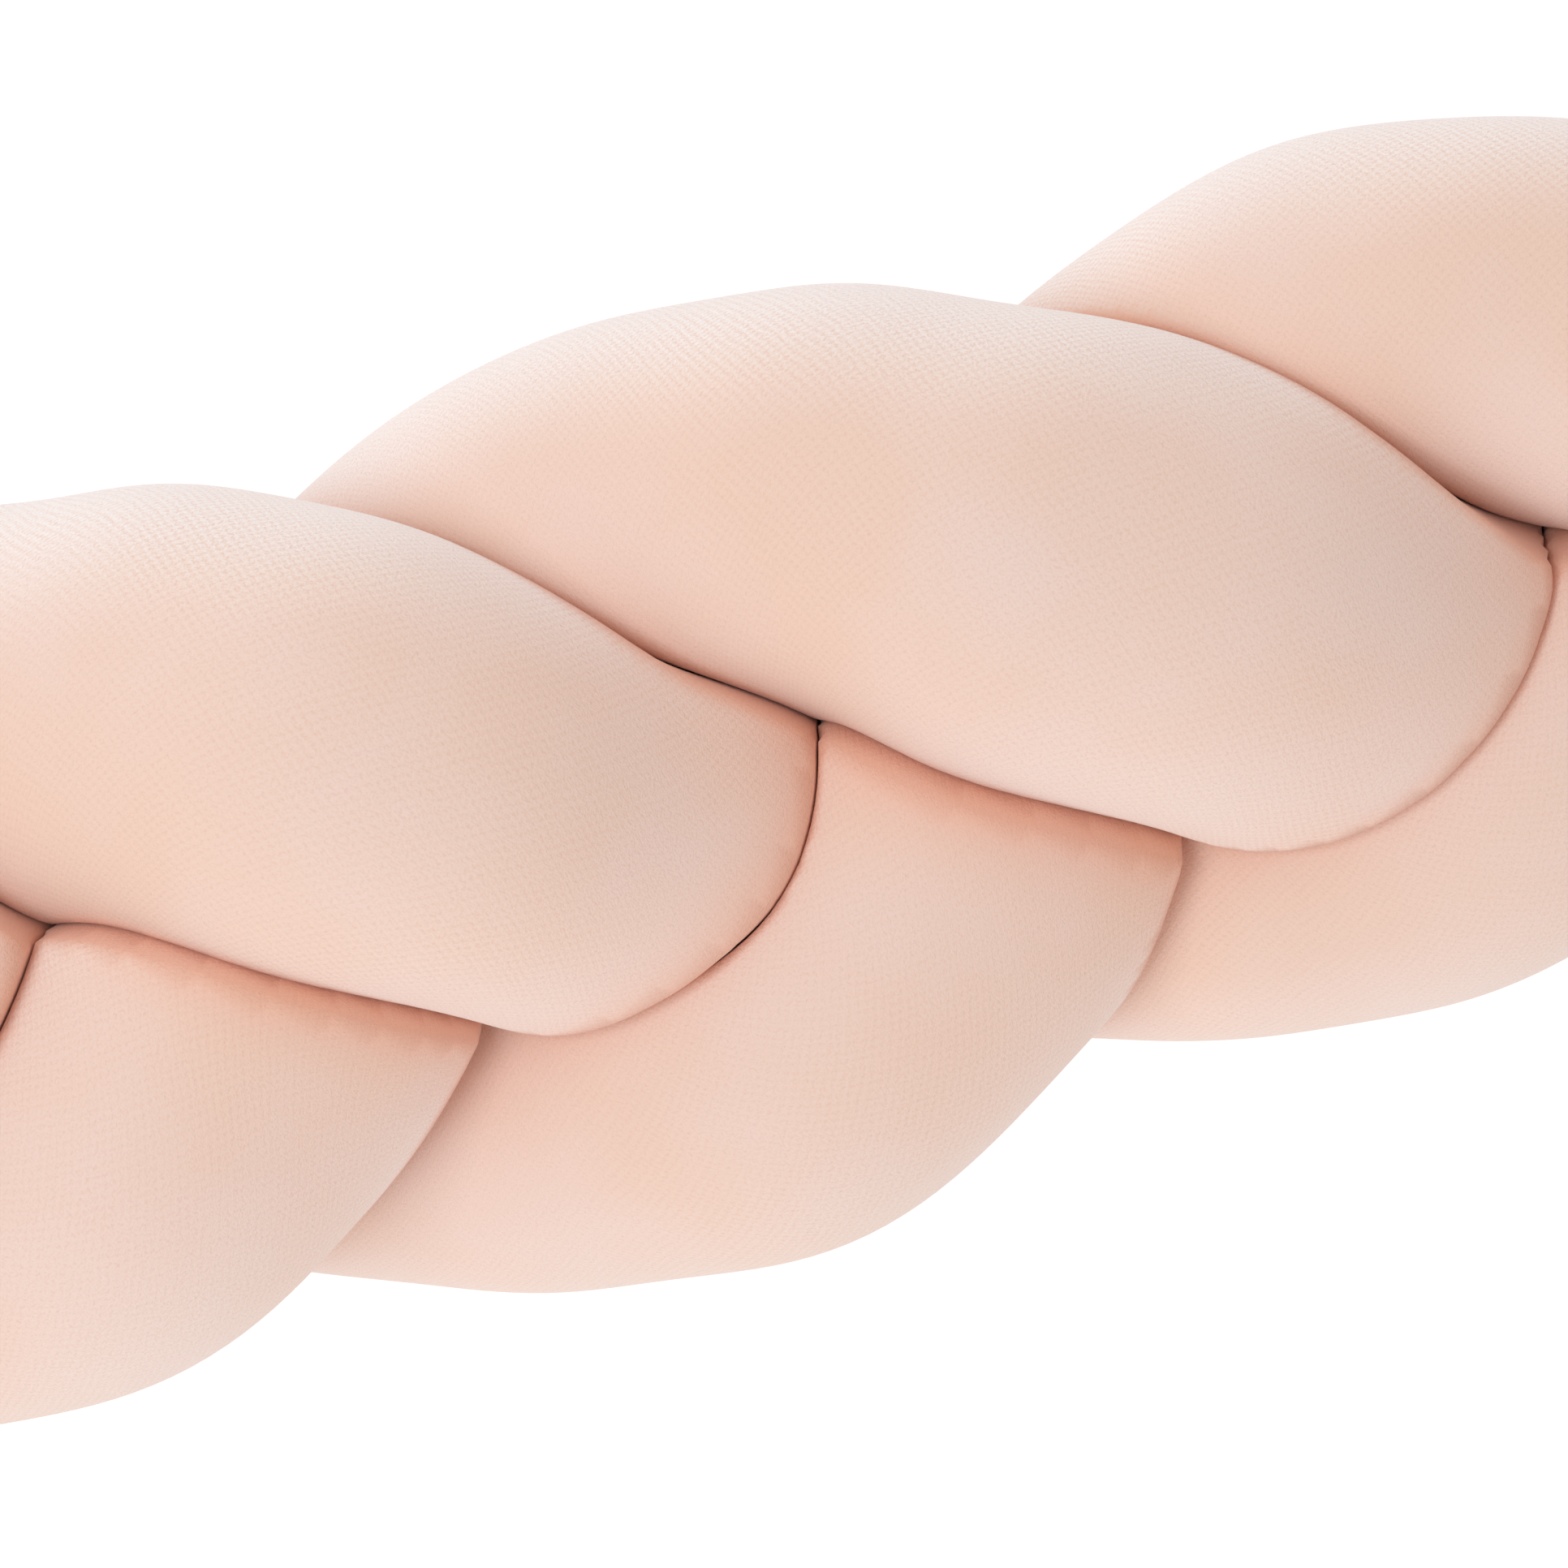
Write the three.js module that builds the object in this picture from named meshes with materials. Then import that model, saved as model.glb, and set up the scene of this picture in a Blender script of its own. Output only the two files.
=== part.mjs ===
// A crib bumper: a flat braid of three stuffed velvet tubes, lying on its back.
// X runs along the bumper, Y across its face and Z up from the surface that it lies on.
// Sizes are millimetres.

import * as THREE from "three";
import { mergeVertices } from "three/addons/utils/BufferGeometryUtils.js";

const { lerp, clamp, smoothstep, euclideanModulo } = THREE.MathUtils;

// The braid: its lobes lie in turn on the -Y edge and the +Y edge
const STRANDS = [0, 1, 2];
const LOBE_STEP = 62; // along X, from a lobe to the next one on the other edge
const REACH = 43.7; // from the middle line to a strand's centre line, at a lobe
const RISE = 19.1; // from mid height to a strand's centre line, on its way over the others
const LINGER = 0.074; // share of the rise by which a strand stays up longer before it dives
const MID_HEIGHT = 53.5; // of the braid's mid height above the surface

// The tubes and the way that they press on each other
const TUBE_RADIUS = 33.4; // of a stuffed tube that nothing presses on
const WIDEST_RADIUS = 60; // no point of a tube is further from its centre line
const STRAND_GAP = 1.8; // between the flanks of two tubes that press on each other
const ROUNDING = 11.8; // how softly a pressed flank turns into the round of the tube
const GIRTH_KEPT = 0.56; // how much of its girth the cloth keeps where the tube is pressed flat
const TAUT = 0.037; // share of its girth that a tube loses where it is drawn tight over the others
const TAUT_AT = 1.39; // where that is, in radians of its way from lobe to lobe
const TAUT_SPAN = 0.45; // how far along that way the tube is tight
const LEAST_SWELL = 0.8; // of the plain radius, however loosely a tube is held
const MOST_SWELL = 1.5; // of the plain radius, however hard a tube is pressed

// The ends, where the three tubes straighten and come to lie side by side
const END_RUN = 90; // along X, in which a strand's last crossing levels out
const END_SPREAD = 1.25; // how much further apart the ends lie than the braid would put them
const END_DROP = 22; // of the ends' centres below mid height
const END_GIRTH = 0.94; // of a tube's girth that is left at its gathered end
const END_ROUND = 28; // length of a tube's rounded end

// Fineness of the faceted solids
const SIDES = 20;
const RINGS = 110;
const END_RINGS = 5;
const CENTRE_STEP = 3; // between the points of a centre line, along X
const NEARBY = 110; // the furthest along X that two strands press on each other
const ROOM_EXACT = 0.01; // how exactly the room beside a tube is found
const EASINGS = 2; // passes that take the cloth out of narrow corners
const GIRTH_PASSES = 12; // passes that bring a pressed section to its girth
const GIRTH_SHARE = 0.8; // of the girth's error that one pass takes away

// One row for each lobe from the -X end: how far it slips along X, how much further out it reaches,
// and the tube's girth there against the plain tube. Sway and rise are of the strand's way from this
// lobe to its next one: how far it bows along Y, and how much higher and deeper it passes
const LOBES = [
  { slip: 2, reach: -1, girth: 1, sway: 1, rise: 0 },
  { slip: -2, reach: 1, girth: 1.02, sway: -1.5, rise: 1 },
  { slip: 3, reach: 0, girth: 0.98, sway: 1, rise: -0.5 },
  { slip: 0, reach: -2, girth: 1, sway: -1, rise: 0.5 },
  { slip: -2, reach: 1, girth: 1.02, sway: 1.9, rise: 4.4 },
  { slip: 0, reach: 0, girth: 1, sway: 0.2, rise: -2.4 },
  { slip: -1.2, reach: -7.8, girth: 0.984, sway: 1.2, rise: 2.3 },
  { slip: 5, reach: -0.6, girth: 1.051, sway: -2.7, rise: 3.2 },
  { slip: -1.2, reach: 3.3, girth: 1.024, sway: -2.1, rise: -1.9 },
  { slip: -0.5, reach: 0.2, girth: 1.08, sway: -3.8, rise: 3 },
  { slip: -12.8, reach: -5, girth: 0.863, sway: -3.2, rise: -2.5 },
  { slip: -10.4, reach: 1.4, girth: 0.988, sway: 0, rise: 0 },
  { slip: 0, reach: 0, girth: 1, sway: 1, rise: 0.5 },
  { slip: 0, reach: 0, girth: 1, sway: -1.5, rise: 0 },
  { slip: -4, reach: 2, girth: 1.02, sway: 1, rise: 1 },
  { slip: 3, reach: -1, girth: 0.98, sway: 0, rise: -1 },
  { slip: -2, reach: -2, girth: 1.01, sway: 0, rise: 0 },
];
const PLAIN_LOBE = { slip: 0, reach: 0, girth: 1, sway: 0, rise: 0 };
const BRAIDED_X = (LOBES.length * LOBE_STEP - END_RUN) / 2; // half the length that is braided evenly
const END_X = BRAIDED_X + END_RUN; // half the length of the centre lines

// The lobes of one strand, which are every third one, with one past each end.
function lobesOf(strand) {
  const lobes = [];
  const turn = STRANDS.length;
  for (let number = strand - turn; number <= LOBES.length + turn; number += turn) {
    const { slip, reach, girth, sway, rise } = LOBES[number - 1] ?? PLAIN_LOBE;
    const edge = number % 2 === 0 ? 1 : -1;
    const x = (number - (LOBES.length + 1) / 2) * LOBE_STEP + slip;
    lobes.push({ x, y: edge * (REACH + reach), girth, sway, rise });
  }
  return lobes;
}
const STRAND_LOBES = STRANDS.map(lobesOf);

// A strand's centre line at x, and its girth there. From a lobe it passes over to the middle
// and dives under to its next lobe on the other edge.
function centreAt(strand, x) {
  const lobes = STRAND_LOBES[strand];
  const ended = clamp((Math.abs(x) - BRAIDED_X) / END_RUN, 0, 1);
  const travel = clamp(x, -END_X, END_X) - (Math.sign(x) * END_RUN * ended ** 2) / 2;
  const next = lobes.findIndex((lobe) => lobe.x > travel);
  const from = lobes[next - 1];
  const to = lobes[next];
  const phase = (Math.PI * (travel - from.x)) / (to.x - from.x);
  const crossed = (1 - Math.cos(phase)) / 2;
  const ending = smoothstep(ended, 0, 1);
  const sway = from.sway * Math.sin(phase) ** 2;
  const climb = (RISE + from.rise) * Math.sin(2 * phase) - RISE * LINGER * Math.sin(4 * phase);
  const tight = TAUT * Math.exp(-(((phase - TAUT_AT) / TAUT_SPAN) ** 2));
  const y = (lerp(from.y, to.y, crossed) + sway) * lerp(1, END_SPREAD, ending);
  const z = lerp(climb, -END_DROP, ending);
  const girth = lerp(from.girth, to.girth, crossed) * (1 - tight) * lerp(1, END_GIRTH, ending);
  return { point: new THREE.Vector3(x, y, z), girth };
}

const CENTRE_LINES = STRANDS.map((strand) => {
  const count = Math.round((2 * END_X) / CENTRE_STEP);
  return Array.from({ length: count + 1 }, (_, i) => centreAt(strand, -END_X + (2 * END_X * i) / count));
});

// The distance from a place to a strand's centre line, in girths of the plain tube.
function distanceTo(strand, place) {
  let nearest = Infinity;
  for (const { point, girth } of CENTRE_LINES[strand]) {
    if (Math.abs(point.x - place.x) < NEARBY) {
      nearest = Math.min(nearest, point.distanceTo(place) / girth);
    }
  }
  return nearest;
}

// How far a tube can swell from its centre in one direction before it meets a neighbour.
function roomFor(strand, centre, direction) {
  const others = STRANDS.filter((other) => other !== strand);
  let free = 0;
  let blocked = WIDEST_RADIUS;
  const place = new THREE.Vector3();
  while (blocked - free > ROOM_EXACT) {
    const tried = (free + blocked) / 2;
    place.copy(centre).addScaledVector(direction, tried);
    const toOthers = Math.min(...others.map((other) => distanceTo(other, place)));
    if (distanceTo(strand, place) + STRAND_GAP < toOthers) {
      free = tried;
    } else {
      blocked = tried;
    }
  }
  return free;
}

// The lesser of two lengths, eased where they are alike.
function easedMin(a, b) {
  const share = clamp(0.5 + (0.5 * (b - a)) / ROUNDING, 0, 1);
  return lerp(b, a, share) - ROUNDING * share * (1 - share);
}

// The swell that gives a pressed section the girth of the round tube,
// as a balloon bulges where it isn't held.
function swellFor(rooms, directions, girth) {
  const radius = TUBE_RADIUS * girth;
  let swell = radius;
  for (let pass = 0; pass < GIRTH_PASSES; pass++) {
    const radii = rooms.map((room) => easedMin(swell, room));
    const points = radii.map((reach, side) => directions[side].clone().multiplyScalar(reach));
    const around = points.reduce((sum, point, side) => sum + point.distanceTo(points.at(side - 1)), 0);
    const wanted = (swell * 2 * Math.PI * radius) / around;
    swell = clamp(lerp(swell, wanted, GIRTH_SHARE), LEAST_SWELL * radius, MOST_SWELL * radius);
  }
  return lerp(radius, swell, GIRTH_KEPT);
}

// Lessens the room in narrow corners between the neighbours, which stuffed cloth doesn't fill.
function easeRooms(sections) {
  for (let pass = 0; pass < EASINGS; pass++) {
    const rooms = sections.map((section) => section.rooms);
    sections.forEach((section, ring) => {
      const here = rooms[ring];
      const before = rooms[Math.max(ring - 1, 0)];
      const after = rooms[Math.min(ring + 1, RINGS)];
      section.rooms = here.map((room, side) => {
        const around = (here.at(side - 1) + here[(side + 1) % SIDES] + before[side] + after[side]) / 4;
        return Math.min(room, (room + around) / 2);
      });
    });
  }
}

// The sections of one tube from end to end: centre, direction along,
// and a point's distance in each direction.
function sectionsOf(strand) {
  const sections = [];
  for (let ring = 0; ring <= RINGS; ring++) {
    const x = -END_X + (2 * END_X * ring) / RINGS;
    const { point: centre, girth } = centreAt(strand, x);
    const along = centreAt(strand, x + 1).point.sub(centreAt(strand, x - 1).point).normalize();
    const up = new THREE.Vector3(0, 0, 1).addScaledVector(along, -along.z).normalize();
    const across = along.clone().cross(up);
    const directions = Array.from({ length: SIDES }, (_, side) => {
      const turn = (2 * Math.PI * side) / SIDES;
      return across.clone().multiplyScalar(Math.cos(turn)).addScaledVector(up, Math.sin(turn));
    });
    const rooms = directions.map((direction) => roomFor(strand, centre, direction));
    sections.push({ centre, girth, along, directions, rooms });
  }
  easeRooms(sections);
  const swells = sections.map(({ rooms, directions, girth }) => swellFor(rooms, directions, girth));
  sections.forEach((section, ring) => {
    const before = swells[Math.max(ring - 1, 0)];
    const after = swells[Math.min(ring + 1, RINGS)];
    const swell = (before + 2 * swells[ring] + after) / 4;
    section.radii = section.rooms.map((room) => easedMin(swell, room));
  });
  return sections;
}

// A capsule whose rings are carried onto the tube's sections,
// with its underside pressed flat on the surface.
function tubeGeometry(strand) {
  const sections = sectionsOf(strand);
  const capsule = new THREE.CapsuleGeometry(TUBE_RADIUS, 2 * END_X, END_RINGS, SIDES, RINGS);
  capsule.deleteAttribute("normal");
  capsule.deleteAttribute("uv");
  const geometry = mergeVertices(capsule);
  const position = geometry.getAttribute("position");
  const vertex = new THREE.Vector3();
  for (let i = 0; i < position.count; i++) {
    vertex.fromBufferAttribute(position, i);
    const held = clamp(vertex.y, -END_X, END_X);
    const section = sections[Math.round(((held + END_X) / (2 * END_X)) * RINGS)];
    const turn = Math.atan2(vertex.z, vertex.x) / (2 * Math.PI);
    const side = euclideanModulo(Math.round(turn * SIDES), SIDES);
    const outward = Math.hypot(vertex.x, vertex.z) / TUBE_RADIUS;
    const beyond = ((vertex.y - held) / TUBE_RADIUS) * END_ROUND;
    vertex.copy(section.centre).addScaledVector(section.along, beyond);
    vertex.addScaledVector(section.directions[side], section.radii[side] * outward);
    position.setXYZ(i, vertex.x, vertex.y, Math.max(vertex.z + MID_HEIGHT, 0));
  }
  const corners = geometry.index.array;
  const kept = [];
  for (let i = 0; i < corners.length; i += 3) {
    const [a, b, c] = corners.slice(i, i + 3);
    if (a !== b && b !== c && c !== a) {
      kept.push(a, b, c);
    }
  }
  geometry.setIndex(kept);
  return geometry;
}

const velvet = new THREE.MeshStandardMaterial({ color: "#eecfc0", roughness: 0.9, metalness: 0 });
velvet.name = "velvet";
const bumper = new THREE.Group();
["strand_a", "strand_b", "strand_c"].forEach((name, strand) => {
  const tube = new THREE.Mesh(tubeGeometry(strand), velvet);
  tube.name = name;
  bumper.add(tube);
});

export default bumper;
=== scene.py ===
# A braided crib bumper of stuffed velvet tubes, lying on its back on a pale floor.
# Sizes are metres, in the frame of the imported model: X along the bumper, Y across its face, Z up.

import math

import bmesh
import bpy
import numpy as np
from mathutils import Matrix, Vector


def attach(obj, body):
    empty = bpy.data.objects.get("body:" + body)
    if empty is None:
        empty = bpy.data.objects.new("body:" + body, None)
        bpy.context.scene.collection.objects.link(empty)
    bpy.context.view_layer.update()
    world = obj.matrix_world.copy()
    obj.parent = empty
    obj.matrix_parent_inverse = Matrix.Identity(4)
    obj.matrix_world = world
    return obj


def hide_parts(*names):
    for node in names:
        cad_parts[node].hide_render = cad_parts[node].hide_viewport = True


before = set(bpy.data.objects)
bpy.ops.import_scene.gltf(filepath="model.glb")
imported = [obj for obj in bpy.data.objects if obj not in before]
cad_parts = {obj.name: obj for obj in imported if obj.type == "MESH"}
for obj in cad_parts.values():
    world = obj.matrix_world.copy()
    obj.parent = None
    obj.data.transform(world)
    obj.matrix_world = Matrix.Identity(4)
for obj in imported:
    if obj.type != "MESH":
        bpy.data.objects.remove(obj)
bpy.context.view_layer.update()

# The three strands
# Each is one long tube of peach-pink knit velvet with a short pile, stuffed with loose polyester and closed
# at both ends. They are plaited flat, over and under each other, so a lobe swells where nothing holds it and
# is pressed flat where it meets its neighbours.
STRANDS = ("strand_a", "strand_b", "strand_c")
MM = 0.001
LOBE_STEP = 62 * MM  # along X, from a lobe to the next one on the other edge
REACH = 43.7 * MM  # from the middle line to a strand's centre line, at a lobe
RISE = 19.1 * MM  # from mid height to a strand's centre line, on its way over the others
LINGER = 0.074  # share of the rise by which a strand stays up longer before it dives
LOBE_EASE = 16 * MM  # how far from a lobe the climbs before it and after it are eased into each other
MID_HEIGHT = 53.5 * MM  # of the braid's mid height above the floor

TUBE_RADIUS = 33.4 * MM  # of a stuffed tube that nothing presses on
WIDEST_RADIUS = 60 * MM  # no point of a tube is further from its centre line
STRAND_GAP = 0.22 * MM  # between two pressed flanks
EDGE_ROUNDING = 0.4 * MM  # how softly a pressed flank turns into the round of a tube that lies on another
TUCK_ROUNDING = 0.8 * MM  # and of a tube that another lies on
STEP_HEIGHT = 10 * MM  # by which a centre line is higher where its tube fully lies on its neighbour
GIRTH_KEPT = 0.56  # how much of its girth the cloth keeps where the tube is pressed flat
TAUT = 0.037  # share of its girth that a tube loses where it is drawn tight over the others
TAUT_AT = 1.39  # where that is, in radians of its way from lobe to lobe
TAUT_SPAN = 0.45  # how far along that way the tube is tight
LEAST_SWELL = 0.8  # of the plain radius, however loosely a tube is held
MOST_SWELL = 1.5  # of the plain radius, however hard a tube is pressed
PRESSED_SWELL = 0.5  # share of a press that the tube's own round follows
PAINTED_SHADE_REACH = 6 * MM  # how far from a neighbour that lies on it a tube's colour is darkened and reddened, as painted crease shade
WIDE_SHADE_REACH = 22 * MM  # and how far a fainter, wider band of that painted shade reaches
WIDE_SHADE_SHARE = 0.25  # share of the painted crease shade that comes from the wider band
DIVING = 0.4  # downward slope of the centre line at which the painted crease shade is fullest, where the tube dives under its neighbour
EMERGING = 0.12  # share of the painted crease shade that is left where a strand comes up out of a crease
CREASE_LINE_SHADE_REACH = 2 * MM  # how far out of a crease its flanks are painted darker, on either side
CREASE_LINE_SHADE = 0.9  # how strongly the painted shade darkens the colour right in a crease
PAINTED_EDGE_LIGHT_REACH = 9 * MM  # how far from a neighbour that it lies on a tube's edge is painted paler, as a painted highlight

END_RUN = 90 * MM  # along X, in which a strand's last crossing levels out
END_SPREAD = 1.25  # how much further apart the ends lie than the braid would put them
END_DROP = 22 * MM  # of the ends' centres below mid height
END_GIRTH = 0.94  # of a tube's girth that is left at its gathered end
END_ROUND = 28 * MM  # length of a tube's rounded end

SIDES = 144
RINGS = 570
END_ROWS = 10  # of a rounded end
CENTRE_STEP = 1.5 * MM  # between the points of a centre line, along X
NEARBY = 110 * MM  # the furthest along X that two strands press on each other
HALVINGS = 13  # of the span in which the room beside a tube is sought
GIRTH_PASSES = 12  # that bring a pressed section to its girth
GIRTH_SHARE = 0.8  # of the girth's error that one pass takes away
UNDER_PASSES = 10  # that smooth how fully a neighbour lies on a tube
SWELL_PASSES = 30  # that smooth the swell along a tube
OWN_WEIGHT = 2  # of a place against each of the places beside it, in both kinds of smoothing
FURTHEST_MOVE = 0.5  # share of a step that a place of the grid moves at most, to reach a crease
HELD_RINGS = 2  # at each end, in which no place moves
MERGED_WITHIN = 0.001 * MM  # of each other, vertices are one, as where the grid's edges meet
# the rings and sides of a step to the next place of a tube's grid, and its length
GRID_STEPS = (
    ((0, 1), 1.5 * MM),
    ((0, -1), 1.5 * MM),
    ((1, 0), 2.9 * MM),
    ((-1, 0), 2.9 * MM),
)

# slip along X and further reach, in millimetres, and girth against the plain tube, then how far the way
# from this lobe to the strand's next one bows along Y and how much higher it passes, in millimetres. Rows 5
# to 12 are rounded from a fit to the photograph's edges and creases, and rows 8 to 10 are partly set one by
# one
LOBES = (
    (2, -1, 1, 1, 0),
    (-2, 1, 1.02, -1.5, 1),
    (3, 0, 0.98, 1, -0.5),
    (0, -2, 1, -1, 0.5),
    (-2, 1, 1.02, 1.9, 4.4),
    (0, 0, 1, 0.2, -2.4),
    (-1.2, -7.8, 0.984, 1.2, 2.3),
    (5, -0.6, 1.051, -2.7, 3.2),
    (-1.2, 3.3, 1.024, -2.1, -1.9),
    (-0.5, 0.2, 1.08, -3.8, 3),
    (-12.8, -5, 0.863, -3.2, -2.5),
    (-10.4, 1.4, 0.988, 0, 0),
    (0, 0, 1, 1, 0.5),
    (0, 0, 1, -1.5, 0),
    (-4, 2, 1.02, 1, 1),
    (3, -1, 0.98, 0, -1),
    (-2, -2, 1.01, 0, 0),
)
PLAIN_LOBE = (0, 0, 1, 0, 0)
BRAIDED_X = (len(LOBES) * LOBE_STEP - END_RUN) / 2
END_X = BRAIDED_X + END_RUN


def lobes_of(strand):
    """The x, y, girth, sway and rise of one strand's lobes: every third one, and one past each end."""
    turn = len(STRANDS)
    numbers = np.arange(strand - turn, len(LOBES) + turn + 1, turn)
    rows = [LOBES[n - 1] if 1 <= n <= len(LOBES) else PLAIN_LOBE for n in numbers]
    slip, reach, girth, sway, rise = np.array(rows, float).T
    edge = np.where(numbers % 2 == 0, 1, -1)
    x = (numbers - (len(LOBES) + 1) / 2) * LOBE_STEP + slip * MM
    return x, edge * (REACH + reach * MM), girth, sway * MM, rise * MM


def mix(low, high, share):
    """The value that is some share of the way from low to high."""
    return low + (high - low) * share


def centre_line(strand, x):
    """Points of a strand's centre line at x, and its girth there."""
    lobe_x, lobe_y, lobe_girth, lobe_sway, lobe_rise = lobes_of(strand)
    ended = np.clip((np.abs(x) - BRAIDED_X) / END_RUN, 0, 1)
    travel = np.clip(x, -END_X, END_X) - np.sign(x) * END_RUN * ended**2 / 2
    to = np.searchsorted(lobe_x, travel, side="right")
    phase = np.pi * (travel - lobe_x[to - 1]) / (lobe_x[to] - lobe_x[to - 1])
    crossed = (1 - np.cos(phase)) / 2
    ending = ended**2 * (3 - 2 * ended)
    sway = lobe_sway[to - 1] * np.sin(phase) ** 2
    climb = (RISE + lobe_rise[to - 1]) * np.sin(2 * phase) - RISE * LINGER * np.sin(4 * phase)
    slope = (2 * (RISE + lobe_rise[:-1]) - 4 * RISE * LINGER) * np.pi / np.diff(lobe_x)
    shared = np.concatenate([slope[:1], (slope[:-1] + slope[1:]) / 2, slope[-1:]])
    for lobe in (to - 1, to):
        beyond = travel - lobe_x[lobe]
        climb += (shared[lobe] - slope[to - 1]) * beyond * np.exp(-((beyond / LOBE_EASE) ** 2))
    tight = TAUT * np.exp(-(((phase - TAUT_AT) / TAUT_SPAN) ** 2))
    y = (mix(lobe_y[to - 1], lobe_y[to], crossed) + sway) * mix(1, END_SPREAD, ending)
    z = mix(climb, -END_DROP, ending)
    girth = mix(lobe_girth[to - 1], lobe_girth[to], crossed) * (1 - tight) * mix(1, END_GIRTH, ending)
    return np.stack([x, y, z], axis=-1), girth


LINE_X = np.arange(-END_X, END_X + CENTRE_STEP / 2, CENTRE_STEP)
LINES = [centre_line(strand, LINE_X) for strand in range(len(STRANDS))]

# waves per metre along X, Y and Z, a start in radians, and height
LUMPS = (
    ((11.0, 6.0, 4.0), 0.4, 0.6 * MM),
    ((-7.0, 13.0, 9.0), 1.9, 0.5 * MM),
    ((17.0, -9.0, 12.0), 4.1, 0.35 * MM),
)
CREASE_WAVES = (
    ((52.0, 17.0, 23.0), 0.9, 0.06 * MM),
    ((-31.0, 44.0, 28.0), 2.6, 0.08 * MM),
    ((74.0, -38.0, 11.0), 5.2, 0.03 * MM),
)

# a strand, the middle of a place where it swells into its neighbours, or gives way to them if the amount is
# less than nothing, and the amount and its span, in millimetres
PRESSES = (
    (2, (41, -4, 25), 12, 16),
    (1, (49, 20, 25), -7, 14),
)


def pressed_out(strand, places):
    """How much further a strand swells at some places than the braid alone would let it."""
    total = np.zeros(places.shape[:-1])
    for presser, middle, amount, span in PRESSES:
        if presser == strand:
            squared = ((places - np.array(middle) * MM) ** 2).sum(-1)
            total += amount * MM * np.exp(-squared / (2 * (span * MM) ** 2))
    return total


def uneven(waves, places):
    """The height of a sum of waves at some places."""
    total = np.zeros(places.shape[:-1])
    for rate, start, height in waves:
        total += height * np.sin(2 * np.pi * places @ np.array(rate) + start)
    return total


def distance_to(strand, places, near):
    """How far places are from the near part of a strand's centre line, less where its girth is great or it is
    pressed out, and the height of that line there."""
    points, girth = LINES[strand][0][near], LINES[strand][1][near]
    squared = (places**2).sum(-1)[:, None] + (points**2).sum(-1) - 2 * places @ points.T
    distances = np.sqrt(np.maximum(squared, 0)) / girth
    nearest = distances.argmin(axis=1)
    return distances[np.arange(len(places)), nearest] - pressed_out(strand, places), points[nearest, 2]


def room_for(strand, centre, directions):
    """How far a tube can swell from its centre in some directions before it meets a neighbour, and how
    fully that neighbour lies on it."""
    others = [other for other in range(len(STRANDS)) if other != strand]
    first, last = np.searchsorted(LINE_X, [centre[0] - NEARBY, centre[0] + NEARBY])
    near = slice(first, last)
    free = np.zeros(len(directions))
    blocked = np.full(len(directions), WIDEST_RADIUS)
    for _ in range(HALVINGS):
        tried = (free + blocked) / 2
        places = centre + directions * tried[:, None]
        own, own_height = distance_to(strand, places, near)
        wave = uneven(CREASE_WAVES, places)
        met = [distance_to(other, places, near) for other in others]
        clear = np.ones(len(directions), bool)
        for other, (distance, _) in zip(others, met):
            side = 1 if other > strand else -1
            clear &= own + STRAND_GAP + side * wave < distance
        free = np.where(clear, tried, free)
        blocked = np.where(clear, blocked, tried)
    met_height = np.where(met[0][0] < met[1][0], met[0][1], met[1][1])
    return free, np.clip(0.5 + (met_height - own_height) / (2 * STEP_HEIGHT), 0, 1)


def eased_min(a, b, rounding):
    """The lesser of two lengths, eased where they are alike."""
    share = np.clip(0.5 + 0.5 * (b - a) / rounding, 0, 1)
    return mix(b, a, share) - rounding * share * (1 - share)


def shifted(values, rings):
    """Rows of values from some rings further on, with the end rows held."""
    return values[np.clip(np.arange(len(values)) + rings, 0, len(values) - 1)]


def beside(values, step):
    """Values from the places that are some rings and sides further on."""
    rings, sides = step
    return shifted(np.roll(values, -sides, axis=1), rings)


def onto_creases(room_left):
    """Which step, if any, leads each place of a tube's grid to a crease close by, and the share of it."""
    chosen = np.full(room_left.shape, -1)
    shares = np.zeros(room_left.shape)
    least = np.full(room_left.shape, WIDEST_RADIUS)
    for number, (step, length) in enumerate(GRID_STEPS):
        other = beside(room_left, step)
        crossed = room_left * other < 0
        share = np.where(crossed, room_left / np.where(crossed, room_left - other, 1), 1)
        better = (share <= FURTHEST_MOVE) & (share * length < least)
        better[:HELD_RINGS] = False
        better[-HELD_RINGS:] = False
        chosen = np.where(better, number, chosen)
        shares = np.where(better, share, shares)
        least = np.where(better, share * length, least)
    return chosen, shares


def moved(values, chosen, shares):
    """Values of a tube's grid, taken where its places have moved to."""
    spread = (...,) + (None,) * (values.ndim - chosen.ndim)
    result = values
    for number, (step, _) in enumerate(GRID_STEPS):
        there = mix(values, beside(values, step), shares[spread])
        result = np.where((chosen == number)[spread], there, result)
    return result


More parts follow.
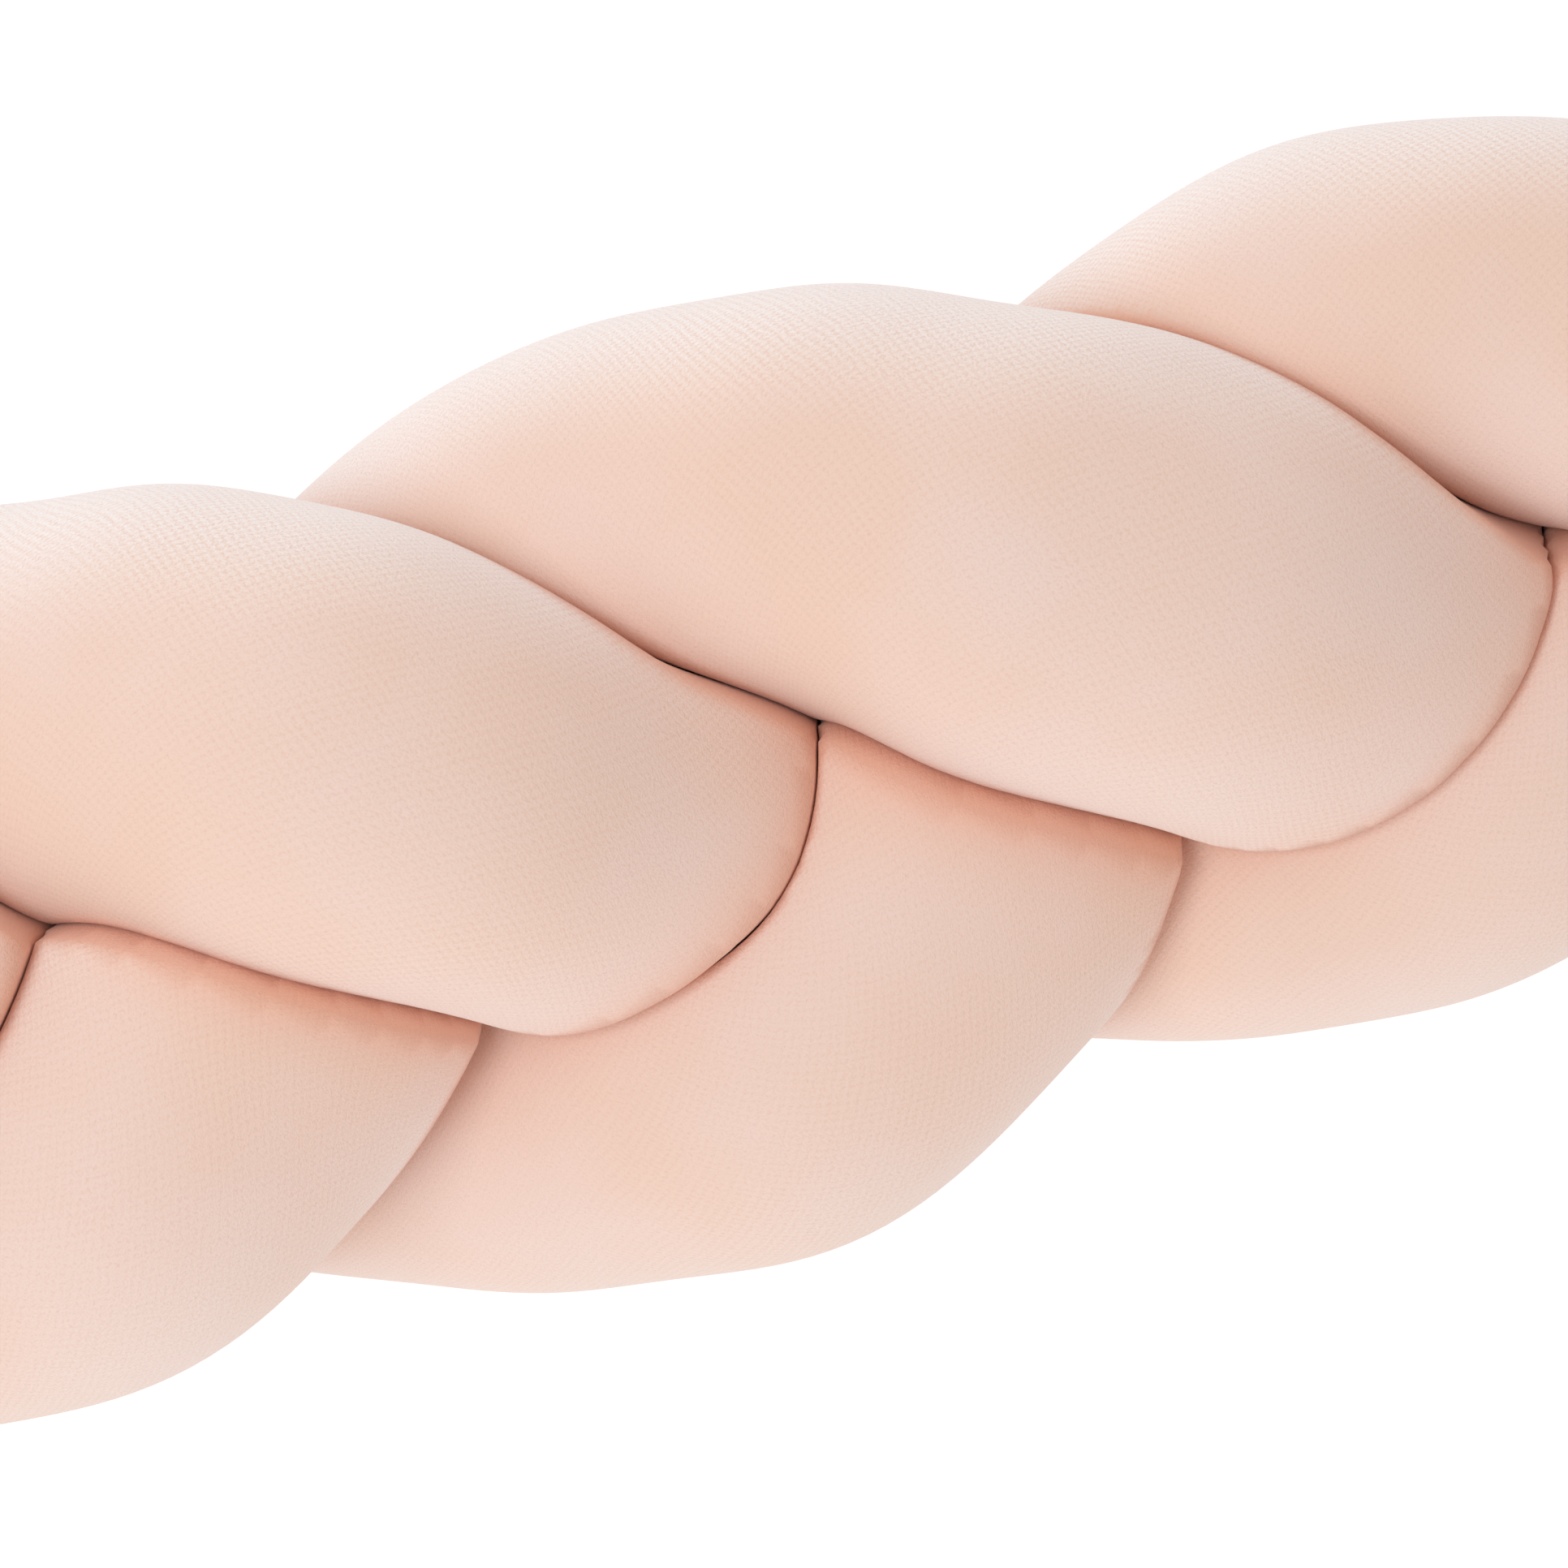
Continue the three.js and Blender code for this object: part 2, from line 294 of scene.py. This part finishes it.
def sections_of(strand):
    """The centres, directions along and around, radii, shares of painted crease shade and of a painted edge
    highlight, and slide along the rings, in rings, of the places of one tube's grid."""
    x = np.linspace(-END_X, END_X, RINGS + 1)
    centres, girth = centre_line(strand, x)
    along = centre_line(strand, x + MM)[0] - centre_line(strand, x - MM)[0]
    along /= np.linalg.norm(along, axis=1, keepdims=True)
    up = np.array([0, 0, 1.0]) - along * along[:, 2:]
    up /= np.linalg.norm(up, axis=1, keepdims=True)
    across = np.cross(along, up)
    turns = np.linspace(0, 2 * np.pi, SIDES, endpoint=False) - np.pi / 2
    around = across[:, None] * np.cos(turns)[:, None] + up[:, None] * np.sin(turns)[:, None]
    found = [room_for(strand, c, d) for c, d in zip(centres, around)]
    rooms = np.array([room for room, _ in found])
    under = np.array([lain_on for _, lain_on in found])
    for _ in range(UNDER_PASSES):
        around_it = sum(beside(under, step) for step, _ in GRID_STEPS)
        under = (OWN_WEIGHT * under + around_it) / (OWN_WEIGHT + len(GRID_STEPS))
    rounding = mix(EDGE_ROUNDING, TUCK_ROUNDING, under)
    plain = TUBE_RADIUS * girth
    swell = plain
    for _ in range(GIRTH_PASSES):
        points = around * eased_min(swell[:, None], rooms, rounding)[..., None]
        length = np.linalg.norm(points - np.roll(points, 1, axis=1), axis=2).sum(axis=1)
        swell = mix(swell, swell * 2 * np.pi * plain / length, GIRTH_SHARE)
        swell = np.clip(swell, LEAST_SWELL * plain, MOST_SWELL * plain)
    swell = mix(plain, swell, GIRTH_KEPT)
    for _ in range(SWELL_PASSES):
        swell = (shifted(swell, -1) + OWN_WEIGHT * swell + shifted(swell, 1)) / (OWN_WEIGHT + 2)
    outer = centres[:, None] + around * TUBE_RADIUS
    full = swell[:, None] + uneven(LUMPS, outer) + PRESSED_SWELL * pressed_out(strand, outer)
    centres = np.repeat(centres[:, None], SIDES, axis=1)
    places = np.repeat(np.arange(RINGS + 1.0)[:, None], SIDES, axis=1)
    chosen, shares = onto_creases(rooms - full)
    slid = moved(places, chosen, shares) - places
    centres, around, rooms, full, under, rounding = [
        moved(values, chosen, shares) for values in (centres, around, rooms, full, under, rounding)
    ]
    around /= np.linalg.norm(around, axis=2, keepdims=True)
    apart = np.maximum(rooms - full, 0)
    # painted shade: the colour is darkened and reddened near a neighbour that lies on the tube, most where
    # the tube dives under it and right in each crease
    shade_on_dive = mix(EMERGING, 1, np.clip(0.5 - along[:, 2:] / (2 * DIVING), 0, 1))
    painted_shade = mix(np.exp(-apart / PAINTED_SHADE_REACH), np.exp(-((apart / WIDE_SHADE_REACH) ** 2)), WIDE_SHADE_SHARE)
    painted_shade = np.sqrt(under) * shade_on_dive * painted_shade
    painted_shade = np.maximum(painted_shade, CREASE_LINE_SHADE * np.exp(-((apart / CREASE_LINE_SHADE_REACH) ** 2)))
    # painted highlight: the edge of a tube that lies on a neighbour is made paler near the crease
    painted_edge_light = (1 - under) * np.exp(-apart / PAINTED_EDGE_LIGHT_REACH)
    return centres, along, around, eased_min(full, rooms, rounding), painted_shade, painted_edge_light, slid


def tube_mesh(strand):
    """A grid rolled up into the tube, with rounded ends and its underside flat on the floor."""
    centres, along, around, radii, painted_shade, painted_edge_light, slid = sections_of(strand)
    ring = np.concatenate([np.zeros(END_ROWS, int), np.arange(RINGS + 1), np.full(END_ROWS, RINGS)])
    bend = np.zeros(len(ring))
    bend[:END_ROWS] = np.linspace(-np.pi / 2, 0, END_ROWS, endpoint=False)
    bend[-END_ROWS:] = -bend[END_ROWS - 1 :: -1]
    axis = centres[ring] + (along[ring] * (END_ROUND * np.sin(bend))[:, None])[:, None]
    spokes = around[ring] * (radii[ring] * np.cos(bend)[:, None])[..., None]
    places = axis + spokes + np.array([0, 0, MID_HEIGHT])
    places[..., 2] = np.maximum(places[..., 2], 0)
    places = np.concatenate([places, places[:, :1]], axis=1)
    fade = np.cos(bend)[:, None] ** 2
    painted_shade = np.concatenate([painted_shade, painted_shade[:, :1]], axis=1)[ring] * fade
    painted_edge_light = np.concatenate([painted_edge_light, painted_edge_light[:, :1]], axis=1)[ring] * fade

    rim = around * radii[..., None]
    steps = np.linalg.norm(np.roll(rim, -1, axis=1) - rim, axis=2)
    share = np.concatenate([np.zeros((RINGS + 1, 1)), np.cumsum(steps, axis=1)], axis=1)
    share /= share[:, -1:]
    drawn_in = TUBE_RADIUS * np.diff(np.cos(bend))
    run = np.hypot(np.linalg.norm(np.diff(axis.mean(axis=1), axis=0), axis=1), drawn_in)
    order = np.arange(len(ring))
    weave_along = np.interp(order[:, None] + slid[ring], order, np.concatenate([[0], np.cumsum(run)]))
    weave_along = np.concatenate([weave_along, weave_along[:, :1]], axis=1)
    weave_around = share[ring] * 2 * np.pi * TUBE_RADIUS

    outward = np.concatenate([around, around[:, :1]], axis=1)[ring]
    lifted = places[:-1, :-1] + places[1:, 1:] - places[:-1, 1:] - places[1:, :-1]
    ridge = (lifted * outward[:-1, :-1]).sum(-1) > 0

    rows, columns = places.shape[:2]
    tube = bmesh.new()
    bmesh.ops.create_grid(tube, x_segments=columns - 1, y_segments=rows - 1, size=1)
    weave = tube.loops.layers.uv.new("weave")
    painted_shade_layer = tube.verts.layers.float.new("painted_shade")
    painted_edge_light_layer = tube.verts.layers.float.new("painted_edge_light")
    spots = {}
    for vertex in tube.verts:
        column = round((vertex.co.x + 1) / 2 * (columns - 1))
        row = round((vertex.co.y + 1) / 2 * (rows - 1))
        spots[vertex] = (row, column)
    for face in tube.faces:
        face.smooth = True
        for corner in face.loops:
            row, column = spots[corner.vert]
            corner[weave].uv = (weave_along[row, column], weave_around[row, column])
    for vertex, (row, column) in spots.items():
        vertex.co = places[row, column]
        vertex[painted_shade_layer] = painted_shade[row, column]
        vertex[painted_edge_light_layer] = painted_edge_light[row, column]
    for face in list(tube.faces):
        corners = {spots[vertex]: vertex for vertex in face.verts}
        row, column = min(corners)
        if ridge[row, column]:
            bmesh.utils.face_split(face, corners[row, column], corners[row + 1, column + 1])
        else:
            bmesh.utils.face_split(face, corners[row, column + 1], corners[row + 1, column])
    bmesh.ops.remove_doubles(tube, verts=tube.verts, dist=MERGED_WITHIN)
    bmesh.ops.recalc_face_normals(tube, faces=tube.faces)
    mesh = bpy.data.meshes.new(STRANDS[strand])
    tube.to_mesh(mesh)
    tube.free()
    return mesh


PEACH = (0.86, 0.625, 0.515, 1)
PINK = (0.86, 0.66, 0.58, 1)
DEEP_PILE = (0.76, 0.48, 0.38, 1)
# a darker, redder colour, painted near creases as shade
PAINTED_SHADE_COLOUR = (0.84, 0.38, 0.24, 1)
# a pale colour, painted on upper edges and flanks as sheen
PAINTED_SHEEN_COLOUR = (0.97, 0.89, 0.865, 1)
SHEEN_TINT = (1.0, 0.98, 0.97, 1)
PATCHES = 24  # of brushed pile, in a metre
PATCH_DETAIL = 3
PATCH_EDGES = (0.35, 0.65)  # of the patches' noise, between which peach turns to pink
TUFT_ALONG = 0.75 * MM
TUFT_AROUND = 1.0 * MM
STRAYS = 300  # in a metre of cloth, of the tufts from their columns
STRAY = 2  # radians of a column's wave, at most
FIBRE_ALONG = 0.3 * MM
FIBRE_AROUND = 0.45 * MM
FINE_DETAIL = 2
TUFT_HEIGHTS = (0.13, 0.06)  # of the tufts against the fibres, on peach and on pink pile
PILE_STRENGTH = 0.5
PILE_DEPTH = 0.3 * MM
DEEP_HEIGHTS = (0.2, 0.55)  # of the pile, between which its deep colour fades
DEEP_SHARES = (0.45, 0.0)
# how much of the painted crease shade is mixed into the colour
PAINTED_SHADE_SHARE = 0.65
PAINTED_SHEEN_FACING = (0, 0.7, -0.7)  # the way that the painted sheen faces: surfaces turned this way are painted paler
FLANK_SHEEN = 0.28  # share of painted sheen on a flank that faces -Y
EDGE_LIGHT_SHEEN = 0.3  # and on the painted highlight at an edge beside a crease
SHEEN_HEIGHTS = (0.3, 0.7)  # of the pile, between which the painted sheen shows more on the tufts
# how much painted sheen shows, from low tufts to high ones
SHEEN_SHARES = (0.4, 1.5)
WHOLE = (0.0, 1.0)

velvet = bpy.data.materials.new("velvet")
velvet.use_nodes = True
nodes = velvet.node_tree.nodes
links = velvet.node_tree.links
cloth = nodes["Principled BSDF"]
cloth.inputs["Roughness"].default_value = 0.95
cloth.inputs["Specular IOR Level"].default_value = 0.1
cloth.inputs["Sheen Weight"].default_value = 0.25
cloth.inputs["Sheen Roughness"].default_value = 0.3
cloth.inputs["Sheen Tint"].default_value = SHEEN_TINT
place = nodes.new("ShaderNodeTexCoord")


def feed(socket, source):
    """Give a socket its value, or link it to another node's output."""
    if isinstance(source, bpy.types.NodeSocket):
        links.new(source, socket)
    else:
        socket.default_value = source


def noise(vector, scale, detail):
    """A node of soft noise."""
    node = nodes.new("ShaderNodeTexNoise")
    feed(node.inputs["Scale"], scale)
    feed(node.inputs["Detail"], detail)
    feed(node.inputs["Vector"], vector)
    return node


def on_cloth(times):
    """Places on the cloth, along and around the tube, in some units to the metre."""
    node = nodes.new("ShaderNodeMapping")
    feed(node.inputs["Scale"], times)
    feed(node.inputs["Vector"], place.outputs["UV"])
    return node.outputs["Vector"]


def vector_maths(operation, *terms):
    """A node that works on vectors."""
    node = nodes.new("ShaderNodeVectorMath")
    node.operation = operation
    for socket, term in zip(node.inputs, terms):
        feed(socket, term)
    return node


def axes_of(vector):
    """The X, Y and Z of a vector, by name."""
    node = nodes.new("ShaderNodeSeparateXYZ")
    feed(node.inputs["Vector"], vector)
    return node.outputs


def maths(operation, *terms):
    """The sum or product of some terms."""
    node = nodes.new("ShaderNodeMath")
    node.operation = operation
    for socket, term in zip(node.inputs, terms):
        feed(socket, term)
    return node.outputs["Value"]


def ranged(value, was, becomes, how="LINEAR"):
    """A value carried from one range into another."""
    node = nodes.new("ShaderNodeMapRange")
    node.interpolation_type = how
    for name, limit in zip(("From Min", "From Max", "To Min", "To Max"), was + becomes):
        feed(node.inputs[name], limit)
    feed(node.inputs["Value"], value)
    return node.outputs["Result"]


def blended(share, first, second):
    """A colour that is some share of the way from the first to the second."""
    node = nodes.new("ShaderNodeMix")
    node.data_type = "RGBA"
    feed(node.inputs["A"], first)
    feed(node.inputs["B"], second)
    feed(node.inputs["Factor"], share)
    return node.outputs["Result"]


def pile_share(name):
    """A share that the tube's mesh holds for each of its vertices."""
    node = nodes.new("ShaderNodeAttribute")
    node.attribute_name = name
    return node.outputs["Fac"]


brushed = ranged(noise(place.outputs["Object"], PATCHES, PATCH_DETAIL).outputs["Fac"], PATCH_EDGES, WHOLE)
hue = blended(brushed, PEACH, PINK)

# the tufts stand in columns around the tube, each column half a tuft on from the last, and stray a little
columns = on_cloth((math.pi / TUFT_ALONG, math.pi / TUFT_AROUND, 1))
wander = noise(place.outputs["UV"], STRAYS, FINE_DETAIL).outputs["Color"]
strayed = vector_maths("MULTIPLY_ADD", wander, (STRAY, STRAY, 0), columns).outputs["Vector"]
ripples = axes_of(vector_maths("COSINE", strayed).outputs["Vector"])
tufts = maths("MULTIPLY", ripples["X"], ripples["Y"])
strokes = on_cloth((1 / FIBRE_ALONG, 1 / FIBRE_AROUND, 1))
fibres = noise(strokes, 1, FINE_DETAIL).outputs["Fac"]
height = maths("MULTIPLY_ADD", tufts, ranged(brushed, WHOLE, TUFT_HEIGHTS), fibres)

pile = nodes.new("ShaderNodeBump")
pile.inputs["Strength"].default_value = PILE_STRENGTH
pile.inputs["Distance"].default_value = PILE_DEPTH
links.new(height, pile.inputs["Height"])
links.new(pile.outputs["Normal"], cloth.inputs["Normal"])

shade = blended(ranged(height, DEEP_HEIGHTS, DEEP_SHARES), hue, DEEP_PILE)
# painted crease shade: the colour is darkened and reddened near creases
painted_shade_mask = pile_share("painted_shade")
shade_painted = blended(maths("MULTIPLY", painted_shade_mask, PAINTED_SHADE_SHARE), shade, PAINTED_SHADE_COLOUR)

# painted sheen: the colour is made paler on the upper edge towards the back, a little on the flank that faces
# -Y and on the painted edge highlight, most on the tufts' tops, and not in the painted crease shade
turned_back = vector_maths("DOT_PRODUCT", place.outputs["Normal"], PAINTED_SHEEN_FACING).outputs["Value"]
turned_near = axes_of(place.outputs["Normal"])["Y"]
over_edge = ranged(turned_back, WHOLE, WHOLE, "SMOOTHSTEP")
near_flank = ranged(turned_near, (0.0, -1.0), (0.0, FLANK_SHEEN), "SMOOTHSTEP")
painted_sheen_faces = maths("ADD", over_edge, near_flank)
painted_sheen_mask = maths("MULTIPLY_ADD", pile_share("painted_edge_light"), EDGE_LIGHT_SHEEN, painted_sheen_faces)
sheen_off_shade = maths("MULTIPLY", painted_sheen_mask, ranged(painted_shade_mask, WHOLE, (1.0, 0.0)))
painted_sheen = maths("MULTIPLY", sheen_off_shade, ranged(height, SHEEN_HEIGHTS, SHEEN_SHARES))
painted_sheen.node.use_clamp = True
links.new(blended(painted_sheen, shade_painted, PAINTED_SHEEN_COLOUR), cloth.inputs["Base Color"])

for strand, name in enumerate(STRANDS):
    piece = bpy.data.objects.new("velvet_" + name, tube_mesh(strand))
    bpy.context.scene.collection.objects.link(piece)
    piece.data.materials.append(velvet)
    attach(piece, "root")
    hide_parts(name)

# The floor
# A wide sheet of white studio paper, which isn't part of the object. The bumper lies on it.
FLOOR_HALF = 6.0
FLOOR_Z = -0.4 * MM
PAPER_GREY = (0.3, 0.3, 0.3, 1)
PAPER_GLOW = 0.78
sheet = bmesh.new()
bmesh.ops.create_grid(sheet, x_segments=1, y_segments=1, size=FLOOR_HALF)
bmesh.ops.translate(sheet, vec=(0, 0, FLOOR_Z), verts=sheet.verts)
floor_mesh = bpy.data.meshes.new("floor")
sheet.to_mesh(floor_mesh)
sheet.free()
floor = bpy.data.objects.new("floor", floor_mesh)
bpy.context.scene.collection.objects.link(floor)
paper = bpy.data.materials.new("paper")
paper.use_nodes = True
paper_shader = paper.node_tree.nodes["Principled BSDF"]
paper_shader.inputs["Base Color"].default_value = PAPER_GREY
paper_shader.inputs["Roughness"].default_value = 1.0
paper_shader.inputs["Emission Color"].default_value = (1, 1, 1, 1)
paper_shader.inputs["Emission Strength"].default_value = PAPER_GLOW
floor.data.materials.append(paper)

# The light
# Soft white light from all around, a soft lamp near the camera and one low at the near edge of the bumper.
WORLD_LIGHT = 0.64
world = bpy.data.worlds.new("studio")
world.use_nodes = True
world.node_tree.nodes["Background"].inputs["Color"].default_value = (1, 1, 1, 1)
world.node_tree.nodes["Background"].inputs["Strength"].default_value = WORLD_LIGHT
bpy.context.scene.world = world
bpy.context.scene.view_settings.view_transform = "Standard"

# name, place, size and watts
LAMPS = (
    ("front_lamp", Vector((-0.5, 0.5, 1.0)), 0.7, 5),
    ("low_lamp", Vector((-0.2, -1.5, 0.7)), 1.2, 7),
)
for lamp_name, lamp_place, lamp_size, lamp_watts in LAMPS:
    lamp_data = bpy.data.lights.new(lamp_name, "AREA")
    lamp_data.size = lamp_size
    lamp_data.energy = lamp_watts
    lamp = bpy.data.objects.new(lamp_name, lamp_data)
    lamp.location = lamp_place
    lamp.rotation_euler = (-lamp_place).to_track_quat("-Z", "Y").to_euler()
    bpy.context.scene.collection.objects.link(lamp)

# The camera
# It looks down on the bumper's face, leans towards its far edge and is turned a little, as in the photograph.
TARGET = Vector((47.3, -2.75, 53.5)) * MM
TILT = math.radians(25.25)
ROLL = math.radians(15.585)
DISTANCE = 1.215
PHOTO_SIDE = 1932
METRES_PER_PIXEL = 0.1356 * MM
SENSOR_WIDTH = 36  # millimetres, as the camera takes it
back = Vector((0, math.sin(TILT), math.cos(TILT)))
level_up = Vector((0, math.cos(TILT), -math.sin(TILT)))
right = Vector((math.cos(ROLL), 0, 0)) - level_up * math.sin(ROLL)
camera_data = bpy.data.cameras.new("camera")
camera_data.sensor_width = SENSOR_WIDTH
camera_data.lens = SENSOR_WIDTH * DISTANCE / (METRES_PER_PIXEL * PHOTO_SIDE)
camera = bpy.data.objects.new("camera", camera_data)
turned = Matrix((right, back.cross(right), back)).transposed().to_4x4()
camera.matrix_world = Matrix.Translation(TARGET + back * DISTANCE) @ turned
bpy.context.scene.collection.objects.link(camera)
bpy.context.scene.camera = camera
